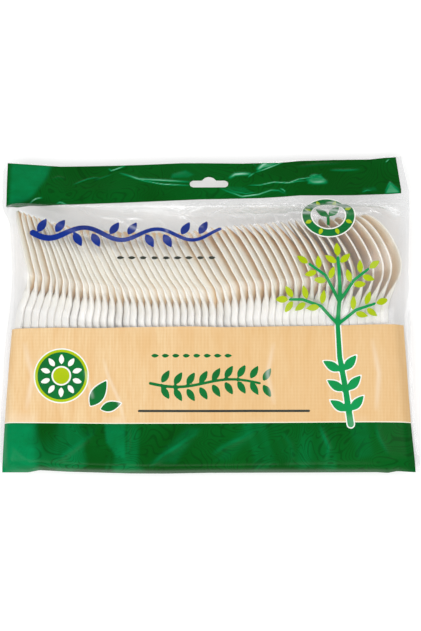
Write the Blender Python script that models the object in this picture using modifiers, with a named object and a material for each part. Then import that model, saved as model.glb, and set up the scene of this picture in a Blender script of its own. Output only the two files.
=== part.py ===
"""A clear header bag that holds one row of moulded spoons.

The pack lies on its back. X runs along the row, +Y points from the handle ends
to the header, and +Z points up out of the front of the bag. Everything is in
metres, and the origin is under the middle of the pack.
"""
import math
import random

import bmesh
import bpy
from mathutils import Matrix, Vector
from mathutils.bvhtree import BVHTree

MM = 0.001

# One spoon, measured along its length from the handle end
SPOON_LENGTH = 156 * MM
BOWL_LENGTH = 59 * MM
BOWL_WIDTH = 36 * MM
BOWL_WIDEST = 31 * MM       # from the tip
BOWL_DEPTH = 5.4 * MM
NECK_WIDTH = 10 * MM
NECK_DROP = 8.4 * MM        # the rim behind the handle's face, at the bend
NECK_BEND = 16 * MM         # the length over which it drops
TIP_RISE = 7.2 * MM         # the tip in front of the handle's face
HANDLE_WIDTH = 16 * MM
HANDLE_DEPTH = 3.0 * MM     # over the side skirts
HANDLE_ARCH = 4 * MM
END_ROUNDING = 7 * MM
WALL = 1.0 * MM

# The row
SPOON_COUNT = 50
CLEARANCE = 0.25 * MM      # between spoons, and from spoons to film
PITCH = 4.52 * MM          # from spoon to spoon, where they clear each other
FIRST_NECK = -121 * MM
JITTER_DEGREES = 0.8

# How each spoon has settled: (spoon number, value)
TWIST_DEGREES = ((1, -13), (4, -7), (7, -9), (14, -25), (20, -29), (26, -29), (34, -14),
                 (39, -10), (45, 7), (50, 45))
LEAN_DEGREES = ((1, 4.4), (5, -0.8), (9, -5.8), (17, -12.6), (27, -13.6), (33, -10.6), (38, -8),
                (46, -4), (50, -3))
HEIGHT_MM = ((1, 7), (3, 4.7), (5, 2.9), (9, 0.5), (16, 0.3), (27, 0), (31, 2.2), (38, 2.8),
             (46, 3), (50, 5))

# The bag
FILM = 0.25 * MM
SIDE_WELD = 3 * MM
BOTTOM_ROOM = 2.2 * MM      # from the fold to the lowest handle end
TOP_ROOM = 5 * MM           # from the highest bowl to the header
HEADER_HEIGHT = 30 * MM
HEADER_DROP = 6 * MM        # how far the header hangs down to its free edge
ROOM_LEFT = 2.4 * MM        # from the first spoon to the weld
ROOM_RIGHT = 8.6 * MM       # from the last spoon to the weld, beside the handles
ROOM_WAIST = 3.2 * MM       # the same, beside the bowls
FILM_ROOM = 0.8 * MM        # between the taut film and the highest spoons
SHOULDER = 8.5 * MM         # the rounding along both sides of the full bag
SLOT_WIDTH = 25 * MM
SLOT_BAR = 4.8 * MM
SLOT_BUMP = 7.4 * MM        # the slot's full height, over its middle
SLOT_BUMP_WIDTH = 9 * MM
SLOT_ROOM = 12 * MM         # from the pocket to the slot's lower edge
SLOT_MIDDLE = -1 * MM
VENT = 5 * MM

IVORY = (0.80, 0.76, 0.66, 1.0)
CLEAR_FILM = (0.88, 0.89, 0.88, 0.3)


def clear_scene():
    for obj in list(bpy.data.objects):
        bpy.data.objects.remove(obj)


def make_collection(name):
    collection = bpy.data.collections.new(name)
    bpy.context.scene.collection.children.link(collection)
    return collection


def make_material(name, color, roughness):
    material = bpy.data.materials.new(name)
    material.use_nodes = True
    shader = material.node_tree.nodes["Principled BSDF"]
    shader.inputs["Base Color"].default_value = color
    shader.inputs["Roughness"].default_value = roughness
    shader.inputs["Metallic"].default_value = 0.0
    shader.inputs["Alpha"].default_value = color[3]
    return material


def smooth_step(value):
    value = min(max(value, 0.0), 1.0)
    return value * value * (3 - 2 * value)


def settled(curve, place):
    """Read a curve of (place, value) points."""
    for (left, low), (right, high) in zip(curve, curve[1:]):
        if place <= right:
            return low + (high - low) * (place - left) / (right - left)
    return curve[-1][1]


def mesh_object(name, mesh, collection, material=None):
    obj = bpy.data.objects.new(name, mesh)
    collection.objects.link(obj)
    if material:
        obj.data.materials.append(material)
    return obj


def grid_mesh(name, rows):
    """An open sheet through rows of points."""
    bm = bmesh.new()
    lines = [[bm.verts.new(point) for point in row] for row in rows]
    for low, high in zip(lines, lines[1:]):
        for left in range(len(low) - 1):
            bm.faces.new((low[left], low[left + 1], high[left + 1], high[left]))
    mesh = bpy.data.meshes.new(name)
    bm.to_mesh(mesh)
    bm.free()
    return mesh


def evaluated_mesh(obj):
    graph = bpy.context.evaluated_depsgraph_get()
    return bpy.data.meshes.new_from_object(obj.evaluated_get(graph))


# The spoon

NECK = SPOON_LENGTH - BOWL_LENGTH


def face_line(along):
    """The line of the handle's face and the bowl's rim, seen from the side."""
    if along <= NECK:
        return HANDLE_ARCH * ((NECK - along) / NECK) ** 2
    past_neck = along - NECK
    rise = max(past_neck - NECK_BEND, 0.0) / (BOWL_LENGTH - NECK_BEND)
    return NECK_DROP * smooth_step(past_neck / NECK_BEND) - (NECK_DROP + TIP_RISE) * rise ** 1.5


def half_width(along):
    handle = HANDLE_WIDTH / 2 + (NECK_WIDTH - HANDLE_WIDTH) / 2 * along / NECK
    if along < END_ROUNDING:
        corner = 1 - along / END_ROUNDING
        return handle * (0.55 + 0.45 * math.sqrt(1 - corner * corner))
    if along <= NECK:
        return handle
    widest = SPOON_LENGTH - BOWL_WIDEST
    if along < widest:
        share = (along - NECK) / (widest - NECK)
        return NECK_WIDTH / 2 + (BOWL_WIDTH - NECK_WIDTH) / 2 * smooth_step(share)
    return BOWL_WIDTH / 2 * math.sqrt(max(1 - ((along - widest) / BOWL_WIDEST) ** 2, 0.0))


def bowl_depth(along):
    share = min(max((along - NECK) / BOWL_LENGTH, 0.0), 1.0)
    return BOWL_DEPTH * math.sin(math.pi * share ** 0.9) ** 0.8


def section(along, skirt):
    """Five points across the spoon's face, from its far edge to its near edge."""
    bowl = smooth_step((along - NECK + NECK_BEND / 2) / NECK_BEND)
    half = half_width(along)
    inner = half - 0.6 * MM * (1 - bowl) - 0.42 * half * bowl
    edge = skirt * (1 - bowl)
    wall = bowl_depth(along) * (1 - (inner / half) ** 2)
    face = face_line(along)
    offsets = ((-half, edge), (-inner, wall), (0.0, bowl_depth(along)), (inner, wall), (half, edge))
    return [Vector((face + depth, along, across)) for across, depth in offsets]


def spoon_mesh(collection):
    """One spoon: its face as a sheet, given the wall's thickness behind it."""
    handle = [END_ROUNDING * share for share in (0.06, 0.35, 1.0)]
    handle += [NECK * share for share in (0.36, 0.66, 0.9)]
    bowl = [NECK + NECK_BEND * share for share in (0.2, 0.6, 1.1)]
    bowl += [SPOON_LENGTH - BOWL_WIDEST * share for share in (1.0, 0.55, 0.22, 0.015)]
    skirt = HANDLE_DEPTH - WALL
    rows = [section(along, skirt) for along in handle + bowl]
    end = [Vector((face_line(0.0) + skirt, 0.0, point.z)) for point in rows[0]]
    sheet = mesh_object("spoon_sheet", grid_mesh("spoon_sheet", [end] + rows), collection)
    solidify = sheet.modifiers.new("wall", "SOLIDIFY")
    solidify.thickness = WALL
    solidify.offset = 1.0
    solidify.use_even_offset = True
    mesh = evaluated_mesh(sheet)
    mesh.name = "spoon"
    bpy.data.objects.remove(sheet)
    mesh.shade_smooth()
    mesh.set_sharp_from_angle(angle=math.radians(40))
    return mesh


def laid_down(points, twist, lean):
    """The turn that lays a twisted spoon down so that bowl and handle both touch."""
    turn = Matrix.Rotation(twist, 4, "Y")
    low_bowl = min((turn @ point for point in points if point.y > NECK), key=lambda p: p.z)
    low_handle = min((turn @ point for point in points if point.y < NECK), key=lambda p: p.z)
    tilt = math.atan2(low_handle.z - low_bowl.z, low_bowl.y - low_handle.y)
    pivot = Matrix.Translation((0, NECK, 0))
    lean_turn = pivot @ Matrix.Rotation(lean, 4, "Z") @ pivot.inverted()
    return lean_turn @ Matrix.Rotation(tilt, 4, "X") @ turn


def cleared(left_points, left_tree, points, faces):
    """How far a spoon lies beside the last one, measured at the neck."""
    pitch = PITCH
    while True:
        moved = [point + Vector((pitch, 0, 0)) for point in points]
        tree = BVHTree.FromPolygons(moved, faces)
        clear = not left_tree.overlap(tree)
        clear = clear and min(left_tree.find_nearest(point)[3] for point in moved) > CLEARANCE
        clear = clear and min(tree.find_nearest(point)[3] for point in left_points) > CLEARANCE
        if clear:
            return pitch
        pitch += 0.05 * MM


def row_of_spoons(collection, material):
    """Lay the spoons down one by one, each beside the last."""
    mesh = spoon_mesh(collection)
    mesh.materials.append(material)
    base = [vertex.co.copy() for vertex in mesh.vertices]
    faces = [tuple(polygon.vertices) for polygon in mesh.polygons]
    shake = random.Random(9)
    spoons, place_x, last = [], FIRST_NECK, None
    for number in range(1, SPOON_COUNT + 1):
        twist = math.radians(settled(TWIST_DEGREES, number) + shake.uniform(-1, 1) * JITTER_DEGREES)
        lean = -math.radians(settled(LEAN_DEGREES, number))
        turn = laid_down(base, twist, lean)
        points = [turn @ point for point in base]
        lift = FILM + CLEARANCE - min(point.z for point in points)
        end = settled(HEIGHT_MM, number) * MM + BOTTOM_ROOM - min(point.y for point in points)
        points = [point + Vector((0, end, lift)) for point in points]
        tree = BVHTree.FromPolygons(points, faces)
        if last:
            place_x += cleared(last[0], last[1], points, faces)
        last = (points, tree)
        spoon = mesh_object(f"spoon_{number:02d}", mesh, collection)
        spoon.matrix_world = Matrix.Translation((place_x, end, lift)) @ turn
        spoons.append((spoon, [point + Vector((place_x, 0, 0)) for point in points]))
    return spoons


# The bag

def closed_between(name, front, back, collection):
    """A closed body between two sheets of points that share one outline."""
    def outline(sheet):
        return sheet[0] + [row[-1] for row in sheet[1:-1]] + sheet[-1][::-1] + [
            row[0] for row in sheet[-2:0:-1]]

    bm = bmesh.new()
    front = [[bm.verts.new(point) for point in row] for row in front]
    back = [[bm.verts.new(point) for point in row] for row in back]
    for sheet in (front, [row[::-1] for row in back]):
        for low, high in zip(sheet, sheet[1:]):
            for left in range(len(low) - 1):
                bm.faces.new((low[left], low[left + 1], high[left + 1], high[left]))
    front, back = outline(front), outline(back)
    for here in range(len(front)):
        after = (here + 1) % len(front)
        bm.faces.new((front[after], front[here], back[here], back[after]))
    mesh = bpy.data.meshes.new(name)
    bm.to_mesh(mesh)
    bm.free()
    return mesh_object(name, mesh, collection)


def taut_line(points, side):
    """The line of a taut film over the points (side 1) or under them (side -1)."""
    line = []
    for point in sorted(set(points)):
        while len(line) > 1:
            (x1, y1), (x2, y2) = line[-2:]
            if side * ((x2 - x1) * (point[1] - y1) - (y2 - y1) * (point[0] - x1)) < 0:
                break
            line.pop()
        line.append(point)
    return line


class BagShape:
    """The outline of the bag and the lines of its panels, fitted to the row of spoons."""

    def __init__(self, spoons):
        points = [point for spoon, places in spoons for point in places]
        bowls = [point for point in points if point.y > max(p.y for p in points) - BOWL_LENGTH]
        self.seam = max(point.y for point in points) + TOP_ROOM
        self.top = self.seam + HEADER_HEIGHT
        left = min(point.x for point in points) - ROOM_LEFT - SIDE_WELD
        right = max(point.x for point in points) + ROOM_RIGHT + SIDE_WELD
        waist_left = max(min(point.x for point in bowls) - ROOM_WAIST - SIDE_WELD, left)
        waist_right = max(point.x for point in bowls) + ROOM_WAIST + SIDE_WELD
        waist = self.seam - TOP_ROOM - BOWL_LENGTH
        self.left = ((0, left), (waist / 2, left), (waist, waist_left),
                     (self.seam - 3 * TOP_ROOM, waist_left), (self.seam, left), (self.top, left))
        self.right = ((0, right), (waist, waist_right), (self.seam + TOP_ROOM, waist_right),
                      (self.top, waist_right - SIDE_WELD))
        self.middle = (left + right) / 2
        low, high = HANDLE_WIDTH / 2, 0.42 * BOWL_WIDTH
        self.weld = ((0, low), (BOTTOM_ROOM + HANDLE_WIDTH / 2, 1.2 * low), (waist, high),
                     (self.seam, high))
        self.header = ((self.seam, high), (self.seam + HEADER_HEIGHT / 3, high - HEADER_DROP / 5),
                       (self.top, high - HEADER_DROP))
        around = [(math.cos(math.radians(turn)), math.sin(math.radians(turn)))
                  for turn in range(0, 360, 30)]
        over = [(point.y + FILM_ROOM * across, point.z + FILM_ROOM * up)
                for point in points for across, up in around]
        self.front = taut_line([(0, low + 4 * FILM), (self.seam, high + 4 * FILM)] + over, 1)
        under = [(along, max(level, 0.0)) for along, level in over]
        self.back = taut_line([(0, low - 4 * FILM), (self.seam, high - 4 * FILM)] + under, -1)
        self.heights = [0.0, self.seam / 2, self.seam]
        while self.worst_height():
            self.heights = sorted(self.heights + [self.worst_height()])

    def worst_height(self):
        """The corner of a panel's line that the present heights cut off most, if any."""
        worst, found = FILM_ROOM / 3, None
        for line in (self.front, self.back):
            coarse = [(height, settled(line, height)) for height in self.heights]
            for along, level in line:
                if abs(settled(coarse, along) - level) > worst:
                    worst, found = abs(settled(coarse, along) - level), along
        return found

    def across(self, height, inset):
        """Places across the bag and how full it is at each, from 0 at a weld to 1."""
        left, right = settled(self.left, height), settled(self.right, height)
        parts = (0, 0.05, 0.2, 0.5, 1)
        steps = [inset + (SHOULDER - inset) * part for part in parts]
        fullness = [(1 - (1 - part) ** 2.5) ** 0.4 for part in parts]
        middle = [left + SHOULDER + (right - left - 2 * SHOULDER) * part for part in (0.25, 0.5, 0.75)]
        places = [left + step for step in steps] + middle + [right - step for step in steps[::-1]]
        return places, fullness + [1] * len(middle) + fullness[::-1]

    def pocket_sheets(self, inward):
        """The filled pocket's front and back sheets, moved inward from the film's outside."""
        front, back = [], []
        end = 1.2 * inward
        for height in [min(max(height, end), self.seam - end) for height in self.heights]:
            weld = settled(self.weld, height)
            highest = settled(self.front, height) - inward
            lowest = settled(self.back, height) + inward
            places, fullness = self.across(height, SIDE_WELD + inward)
            edge = weld + 0.1 * MM
            front.append([Vector((place, height, edge + (highest - edge) * full))
                          for place, full in zip(places, fullness)])
            back.append([Vector((place, height, weld + (lowest - weld) * full))
                         for place, full in zip(places, fullness)])
        return front, back

    def welded_sheets(self):
        """The two faces of the welded film: the side fins and the header."""
        front, back = [], []
        for height, level in self.weld[:-1] + self.header:
            left, right = settled(self.left, height), settled(self.right, height)
            reach = SIDE_WELD + 2 * FILM
            places = [left, left + reach, right - reach, right]
            front.append([Vector((place, height, level + FILM)) for place in places])
            back.append([Vector((place, height, level - FILM)) for place in places])
        return front, back


def slot_cutter(shape, collection):
    """The hang slot: a bar with round ends and a hump over its middle."""
    bar, hump = SLOT_BAR / 2, SLOT_BUMP_WIDTH / 2
    middle = Vector((shape.middle + SLOT_MIDDLE, shape.seam + SLOT_ROOM + bar, 0))
    reach = SLOT_WIDTH / 2 - bar
    outline = []
    for step in range(9):
        turn = math.radians(-90 + 180 * step / 8)
        outline.append(middle + Vector((reach + bar * math.cos(turn), bar * math.sin(turn), 0)))
    for step in range(9):
        turn = math.radians(180 * step / 8)
        rise = SLOT_BUMP - SLOT_BAR
        outline.append(middle + Vector((hump * math.cos(turn), bar + rise * math.sin(turn) ** 0.7, 0)))
    for step in range(9):
        turn = math.radians(90 + 180 * step / 8)
        outline.append(middle + Vector((-reach + bar * math.cos(turn), bar * math.sin(turn), 0)))
    bm = bmesh.new()
    face = bm.faces.new([bm.verts.new(point) for point in outline])
    walls = bmesh.ops.extrude_face_region(bm, geom=[face])
    top = [item for item in walls["geom"] if isinstance(item, bmesh.types.BMVert)]
    bmesh.ops.translate(bm, verts=top, vec=(0, 0, 40 * MM))
    bmesh.ops.recalc_face_normals(bm, faces=bm.faces)
    mesh = bpy.data.meshes.new("hang_slot_cutter")
    bm.to_mesh(mesh)
    bm.free()
    return mesh_object("hang_slot_cutter", mesh, collection)


def vent_cutter(shape, collection):
    """The small air hole in the middle of the back panel."""
    bm = bmesh.new()
    place = Matrix.Translation((shape.middle, shape.seam / 3, 0))
    bmesh.ops.create_cone(bm, cap_ends=True, segments=16, radius1=VENT / 2, radius2=VENT / 2,
                          depth=1.5 * MM, matrix=place)
    mesh = bpy.data.meshes.new("vent_cutter")
    bm.to_mesh(mesh)
    bm.free()
    return mesh_object("vent_cutter", mesh, collection)


def combine(obj, tool, operation):
    """Join a tool to an object, or cut it out, and keep only the result's mesh."""
    modifier = obj.modifiers.new(tool.name, "BOOLEAN")
    modifier.operation = operation
    modifier.solver = "EXACT"
    modifier.object = tool
    mesh = evaluated_mesh(obj)
    obj.modifiers.clear()
    obj.data = mesh


def film_bag(shape, collection, cutters, material):
    """The filled pocket, its side welds and the flat header, as one skin of film."""
    bag = closed_between("film_bag", *shape.pocket_sheets(0.0), collection)
    combine(bag, closed_between("welded_film", *shape.welded_sheets(), cutters), "UNION")
    combine(bag, closed_between("pocket_inside", *shape.pocket_sheets(FILM), cutters), "DIFFERENCE")
    combine(bag, slot_cutter(shape, cutters), "DIFFERENCE")
    combine(bag, vent_cutter(shape, cutters), "DIFFERENCE")
    bag.data.name = "film_bag"
    bag.data.materials.clear()
    bag.data.materials.append(material)
    bag.data.shade_smooth()
    bag.data.set_sharp_from_angle(angle=math.radians(35))
    return bag


clear_scene()
pack = make_collection("spoon_pack")
cutters = make_collection("cutters")
cutters.hide_render = True
shape = BagShape(row_of_spoons(pack, make_material("moulded_ivory", IVORY, 0.5)))
film_bag(shape, pack, cutters, make_material("clear_film", CLEAR_FILM, 0.15))
for obj in list(pack.objects) + list(cutters.objects):
    obj.matrix_world = Matrix.Translation((-shape.middle, -shape.top / 2, 0)) @ obj.matrix_world
for tool in cutters.objects:
    tool.hide_render = True
    tool.display_type = "WIRE"
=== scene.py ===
"""A clear printed header bag, filled with one row of moulded spoons, seen from its front."""
import math
import random

import bmesh
import bpy
import numpy as np
from mathutils import Matrix, Vector
from mathutils.bvhtree import BVHTree


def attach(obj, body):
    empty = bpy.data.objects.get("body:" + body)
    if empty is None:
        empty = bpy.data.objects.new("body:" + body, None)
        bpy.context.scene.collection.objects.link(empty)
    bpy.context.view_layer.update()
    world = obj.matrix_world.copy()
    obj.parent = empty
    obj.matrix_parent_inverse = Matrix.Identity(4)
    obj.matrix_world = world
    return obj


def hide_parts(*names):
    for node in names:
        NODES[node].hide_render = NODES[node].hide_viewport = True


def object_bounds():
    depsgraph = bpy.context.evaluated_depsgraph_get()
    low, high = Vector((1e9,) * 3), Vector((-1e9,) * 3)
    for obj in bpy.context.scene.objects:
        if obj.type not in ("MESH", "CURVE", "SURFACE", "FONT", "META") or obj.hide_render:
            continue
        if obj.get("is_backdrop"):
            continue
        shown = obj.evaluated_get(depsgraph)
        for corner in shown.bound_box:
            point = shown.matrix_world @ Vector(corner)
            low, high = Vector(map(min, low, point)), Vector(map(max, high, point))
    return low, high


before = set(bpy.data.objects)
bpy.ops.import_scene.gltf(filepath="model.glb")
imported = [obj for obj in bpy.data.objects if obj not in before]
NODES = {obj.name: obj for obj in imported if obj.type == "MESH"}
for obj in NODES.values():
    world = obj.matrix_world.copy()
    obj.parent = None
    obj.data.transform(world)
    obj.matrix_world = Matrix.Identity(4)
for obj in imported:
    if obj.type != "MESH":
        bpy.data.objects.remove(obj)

MM = 0.001
CAD_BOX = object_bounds()
SPOON_NAMES = sorted(name for name in NODES if name.startswith("spoon"))


def srgb(red, green, blue):
    """A colour given as it shows on a screen, as the light that shaders use."""
    def light(level):
        level /= 255
        return level / 12.92 if level <= 0.04045 else ((level + 0.055) / 1.055) ** 2.4
    return (light(red), light(green), light(blue), 1.0)


def ease(value, low=0.0, high=1.0):
    """From 0 at low to 1 at high, smoothly, for a number or an array."""
    share = np.clip((value - low) / (high - low), 0.0, 1.0)
    return share * share * (3 - 2 * share)


# Finishes

class Wire:
    """A shader socket for use in sums, each of which adds a node."""

    def __init__(self, nodes, socket):
        self.nodes, self.socket = nodes, socket

    def maths(self, operation, *others, first=None):
        """A Math node on this value and others, or on a first value and this one."""
        values = (self, *others) if first is None else (first, self)
        return self.nodes.node("ShaderNodeMath", {"operation": operation}, dict(enumerate(values)))

    def __add__(self, other):
        return self.maths("ADD", other)

    def __radd__(self, other):
        return self.maths("ADD", first=other)

    def __sub__(self, other):
        return self.maths("SUBTRACT", other)

    def __rsub__(self, other):
        return self.maths("SUBTRACT", first=other)

    def __mul__(self, other):
        return self.maths("MULTIPLY", other)

    def __rmul__(self, other):
        return self.maths("MULTIPLY", first=other)

    def __pow__(self, other):
        return self.maths("POWER", other)

    def most(self, other):
        return self.maths("MAXIMUM", other)

    def ease(self, low, high):
        """From 0 at low to 1 at high, smoothly."""
        settings = {"interpolation_type": "SMOOTHSTEP"}
        return self.nodes.node("ShaderNodeMapRange", settings, {0: self, 1: low, 2: high})


class Nodes:
    """A tree of shader nodes: a material's or the sky's."""

    def __init__(self, tree):
        self.tree = tree

    def node(self, kind, settings=None, inputs=None, output=0):
        """Add a node, set it, feed it, and give one of its outputs."""
        node = self.tree.nodes.new(kind)
        for name, value in (settings or {}).items():
            setattr(node, name, value)
        for name, value in (inputs or {}).items():
            self.feed(node.inputs[name], value)
        return Wire(self, node.outputs[output])

    def feed(self, socket, value):
        """Link a wire to a socket, or set the socket to a plain value."""
        if isinstance(value, Wire):
            self.tree.links.new(value.socket, socket)
        else:
            socket.default_value = value


class Finish(Nodes):
    """One material: a Principled shader and the nodes that feed it."""

    def __init__(self, name, **fixed):
        self.material = bpy.data.materials.new(name)
        self.material.use_nodes = True
        super().__init__(self.material.node_tree)
        self.shader = self.tree.nodes["Principled BSDF"]
        self.show(**fixed)

    def show(self, **inputs):
        """Feed the shader's sockets, such as base_color, and give the material."""
        for key, value in inputs.items():
            socket = key.replace("_", " ").title().replace("Ior", "IOR")
            self.feed(self.shader.inputs[socket], value)
        return self.material

    def drawn(self, name, output="Fac"):
        """A mark that the mesh carries at its points."""
        return self.node("ShaderNodeAttribute", {"attribute_name": name}, output=output)

    def place(self, x=1.0, y=1.0, turn=0.0):
        """Where a point is on the object, stretched by x and y and turned about z."""
        where = self.node("ShaderNodeTexCoord", output="Object")
        return self.node("ShaderNodeMapping", None, {
            "Vector": where, "Scale": (x, y, 1.0), "Rotation": (0, 0, turn)})

    def along(self, where, axis):
        """A place's x, y or z, for axis 0, 1 or 2."""
        return self.node("ShaderNodeSeparateXYZ", None, {0: where}, output=axis)

    def noise(self, where, scale, detail, distortion=0.0):
        return self.node("ShaderNodeTexNoise", None, {
            "Vector": where, "Scale": scale, "Detail": detail, "Distortion": distortion})

    def layers(self, base, *above):
        """A colour with layers over it, each a share and a colour. Mix has them at 0, 6 and 7."""
        for share, colour in above:
            colours = {0: share, 6: base, 7: srgb(*colour)}
            base = self.node("ShaderNodeMix", {"data_type": "RGBA"}, colours, output=2)
        return base


def spoon_finish():
    """Moulded plant fibre: the walls' tones with painted shade deep in the bowls, faint clouds, fine
    specks and grain.
    """
    finish = Finish("moulded_ivory", specular_ior_level=0.35, subsurface_weight=0.5,
                    subsurface_scale=1.6 * MM, subsurface_radius=(1.0, 0.95, 0.88))
    where, tone_and_painted_shade = finish.place(), finish.drawn("tone_and_painted_shade", "Color")
    cloud = finish.noise(where, 90.0, 3.0)
    speck = finish.noise(finish.place(1, 0.5), 1500.0, 2.0).ease(0.66, 0.76)
    # The tones bring painted shade deep in the bowls
    base = finish.layers(tone_and_painted_shade, (cloud.ease(0.35, 0.7) * 0.08, (238, 224, 198)),
                         (speck * 0.12, (214, 190, 150)))
    grain = {"Height": finish.noise(where, 2200.0, 3.0), "Distance": 0.04 * MM, "Strength": 0.5}
    return finish.show(base_color=base, roughness=0.42 + 0.2 * cloud,
                       normal=finish.node("ShaderNodeBump", None, grain))


def clear_finish(name, least, pale):
    """Clear film: most light passes, its folds mirror the lamps, and its creases are painted white as
    highlights, with some whitening of the stressed film.
    """
    finish = Finish(name, roughness=0.18)
    where, whitening_and_highlight = finish.place(), finish.drawn("whitening_and_highlight")
    facing = finish.node("ShaderNodeLayerWeight", None, {"Blend": 0.5}, output="Facing")
    haze = finish.noise(where, 35.0, 4.0).ease(0.35, 0.75)
    right_end = finish.along(where, 0).ease(0.06, 0.115)
    cover = least + 0.04 * haze + 0.06 * right_end + 0.4 * facing ** 3.0
    # White on the creases is a painted highlight
    base = finish.layers(srgb(*pale), (haze, (252, 252, 253)), (whitening_and_highlight, (255, 255, 255)))
    return finish.show(base_color=base, metallic=0.3 - 0.2 * whitening_and_highlight, alpha=cover + 0.55 * whitening_and_highlight)


def green_finish():
    """Dark green print under glossy film: fine rings like a tree's, a painted sheen on soft ridges at the
    foot, brightest at the left, and pale creases painted as highlights.
    """
    finish = Finish("green_print", specular_ior_level=0.06)
    where = finish.place()
    rings = (finish.noise(where, 30.0, 1.5, 0.8) * 34.0).maths("PINGPONG", 0.5).ease(0.2, 0.03)
    cloud = finish.noise(where, 14.0, 3.0, 0.5).ease(0.3, 0.72)
    foot = finish.along(where, 1).ease(-0.06, -0.075)
    # Lighter diagonal ridges at the foot, strongest at the left, are a painted sheen of the lamps on
    # folds
    left = 1 - 0.55 * finish.along(where, 0).ease(-0.04, 0.02)
    painted_ridge_sheen = finish.noise(finish.place(1.0, 0.3, -0.75), 34.0, 3.0, 0.6).ease(0.53, 0.7)
    # Pale creases are painted highlights, with some whitening of the stressed film
    pale = finish.drawn("whitening_and_highlight") * (0.5 + finish.noise(finish.place(1.0, 2.2, 0.5), 60.0, 3.0, 0.5))
    base = finish.layers(srgb(0, 76, 12), (cloud, (0, 94, 28)), (painted_ridge_sheen * foot * left * 0.8, (0, 136, 74)),
                         (rings * 0.5, (0, 54, 8)), (pale.ease(0.0, 0.5), (0, 142, 84)),
                         (pale.ease(0.35, 1.0), (172, 222, 198)))
    return finish.show(base_color=base, roughness=0.22 + 0.1 * cloud)


def kraft_finish():
    """Light brown print like woven wood veneer, browner towards the pack's right, with darker vertical
    streaks painted as shade of the handles and wrinkles under it, and pale creases painted as highlights.
    """
    finish = Finish("kraft_print", roughness=0.34, specular_ior_level=0.15)
    where = finish.place()
    # Darker vertical streaks: painted shade of the handles and wrinkles under the film
    painted_streak_shade = finish.noise(finish.place(3.2, 0.45), 42.0, 4.0, 0.4).ease(0.3, 0.75)
    fibre = finish.noise(finish.place(4.0, 0.4), 260.0, 2.0).ease(0.4, 0.7)
    cloud = finish.noise(finish.place(1, 0.6), 16.0, 3.0, 0.8).ease(0.3, 0.75)
    right = finish.along(where, 0).ease(-0.06, 0.03)
    thread_x, thread_y = ((finish.along(where, axis) * 2900.0).maths("SINE") for axis in (0, 1))
    weave = (thread_x * 0.6 + thread_y * 0.4).ease(-0.9, 0.9)
    return finish.show(base_color=finish.layers(
        srgb(243, 212, 164), (painted_streak_shade, (235, 193, 137)), (cloud * 0.5, (244, 213, 168)),
        (fibre * 0.3, (228, 182, 122)), (right * 0.42, (228, 184, 124)), (weave * 0.16, (214, 164, 102)),
        # Pale creases: painted highlights
        (finish.drawn("whitening_and_highlight") * 0.7, (255, 244, 226))))


def flat_ink(name, colour, deep):
    """Plain ink under film, a little uneven, and paler on creases as painted highlights."""
    finish = Finish(name, specular_ior_level=0.2)
    cloud = finish.noise(finish.place(), 60.0, 3.0).ease(0.35, 0.7)
    base = finish.layers(srgb(*colour), (cloud, deep), (finish.drawn("whitening_and_highlight") * 0.8, (240, 244, 244)))
    return finish.show(base_color=base, roughness=0.22 + 0.08 * cloud)


def put(name, data):
    """A new object in the scene."""
    thing = bpy.data.objects.new(name, data)
    bpy.context.scene.collection.objects.link(thing)
    return thing


# The spoons. Sizes are in metres, and along runs from the handle's end to the tip

LENGTH, BOWL, NECK_BEND = 156 * MM, 59 * MM, 16 * MM
NECK = LENGTH - BOWL
# The bowl, which is widest at WIDEST from its tip, and the form of its hollow
WIDTH, WIDEST, DEPTH = 36 * MM, 31 * MM, 5.4 * MM
HOLLOW_LEAN, HOLLOW_FULLNESS = 0.9, 0.8
NECK_WIDTH, NECK_DROP, TIP_RISE, TIP_CURVE = 10 * MM, 8.4 * MM, 7.2 * MM, 1.5
# The handle, whose round end is END long and starts at END_SHARE of its width
HANDLE_WIDTH, ARCH, END, END_SHARE = 16 * MM, 4 * MM, 7 * MM, 0.55
# The frame's plain spoons: their wall, their side skirts, and where their five points lie
PLAIN_WALL, PLAIN_SKIRT, PLAIN_FLANK, PLAIN_SLOPE = 1.0 * MM, 2.0 * MM, 0.6 * MM, 0.42
# The fine spoon, whose skirts end at SKIRT_END past the handle, and whose neck bends softly
WALL, RIM, SKIRT, SKIRT_WIDTH, SKIRT_END = 0.95 * MM, 0.2 * MM, 4.5 * MM, 0.65 * MM, 19 * MM
BEND_BEFORE, BEND_AFTER = 8 * MM, 3 * MM
FACE_POINTS, HANDLE_ROWS, NECK_ROWS, BOWL_ROWS = 21, 11, 12, 14
# Tones of the wall: pale at the handle and rims, and painted shade deep in the bowl, warm tan on the back
# and paler on the inner face
HANDLE_TONE, RIM_TONE = srgb(251, 248, 242), srgb(255, 250, 238)
BACK_TONE, SHADE_PAINTED_BACK = srgb(252, 244, 230), srgb(253, 208, 148)
INNER_TONE, SHADE_PAINTED_INNER = srgb(253, 244, 228), srgb(253, 234, 204)
# How far a bowl may lean to the side, and the pack's y at which its neck and its bowl lie
LEAN, NECK_PLACE, BOWL_PLACE = 0.5 * MM, -10 * MM, 40 * MM


def face_line(along, before=0.0, after=0.0):
    """How deep the face lies. The neck's bend starts earlier by before and ends later by after."""
    arch = ARCH * (max(NECK - along, 0.0) / NECK) ** 2
    drop = ease(along, NECK - before, NECK + NECK_BEND + after)
    rise = max(along - NECK - NECK_BEND, 0.0) / (BOWL - NECK_BEND)
    return arch + NECK_DROP * drop - (NECK_DROP + TIP_RISE) * rise ** TIP_CURVE


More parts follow.
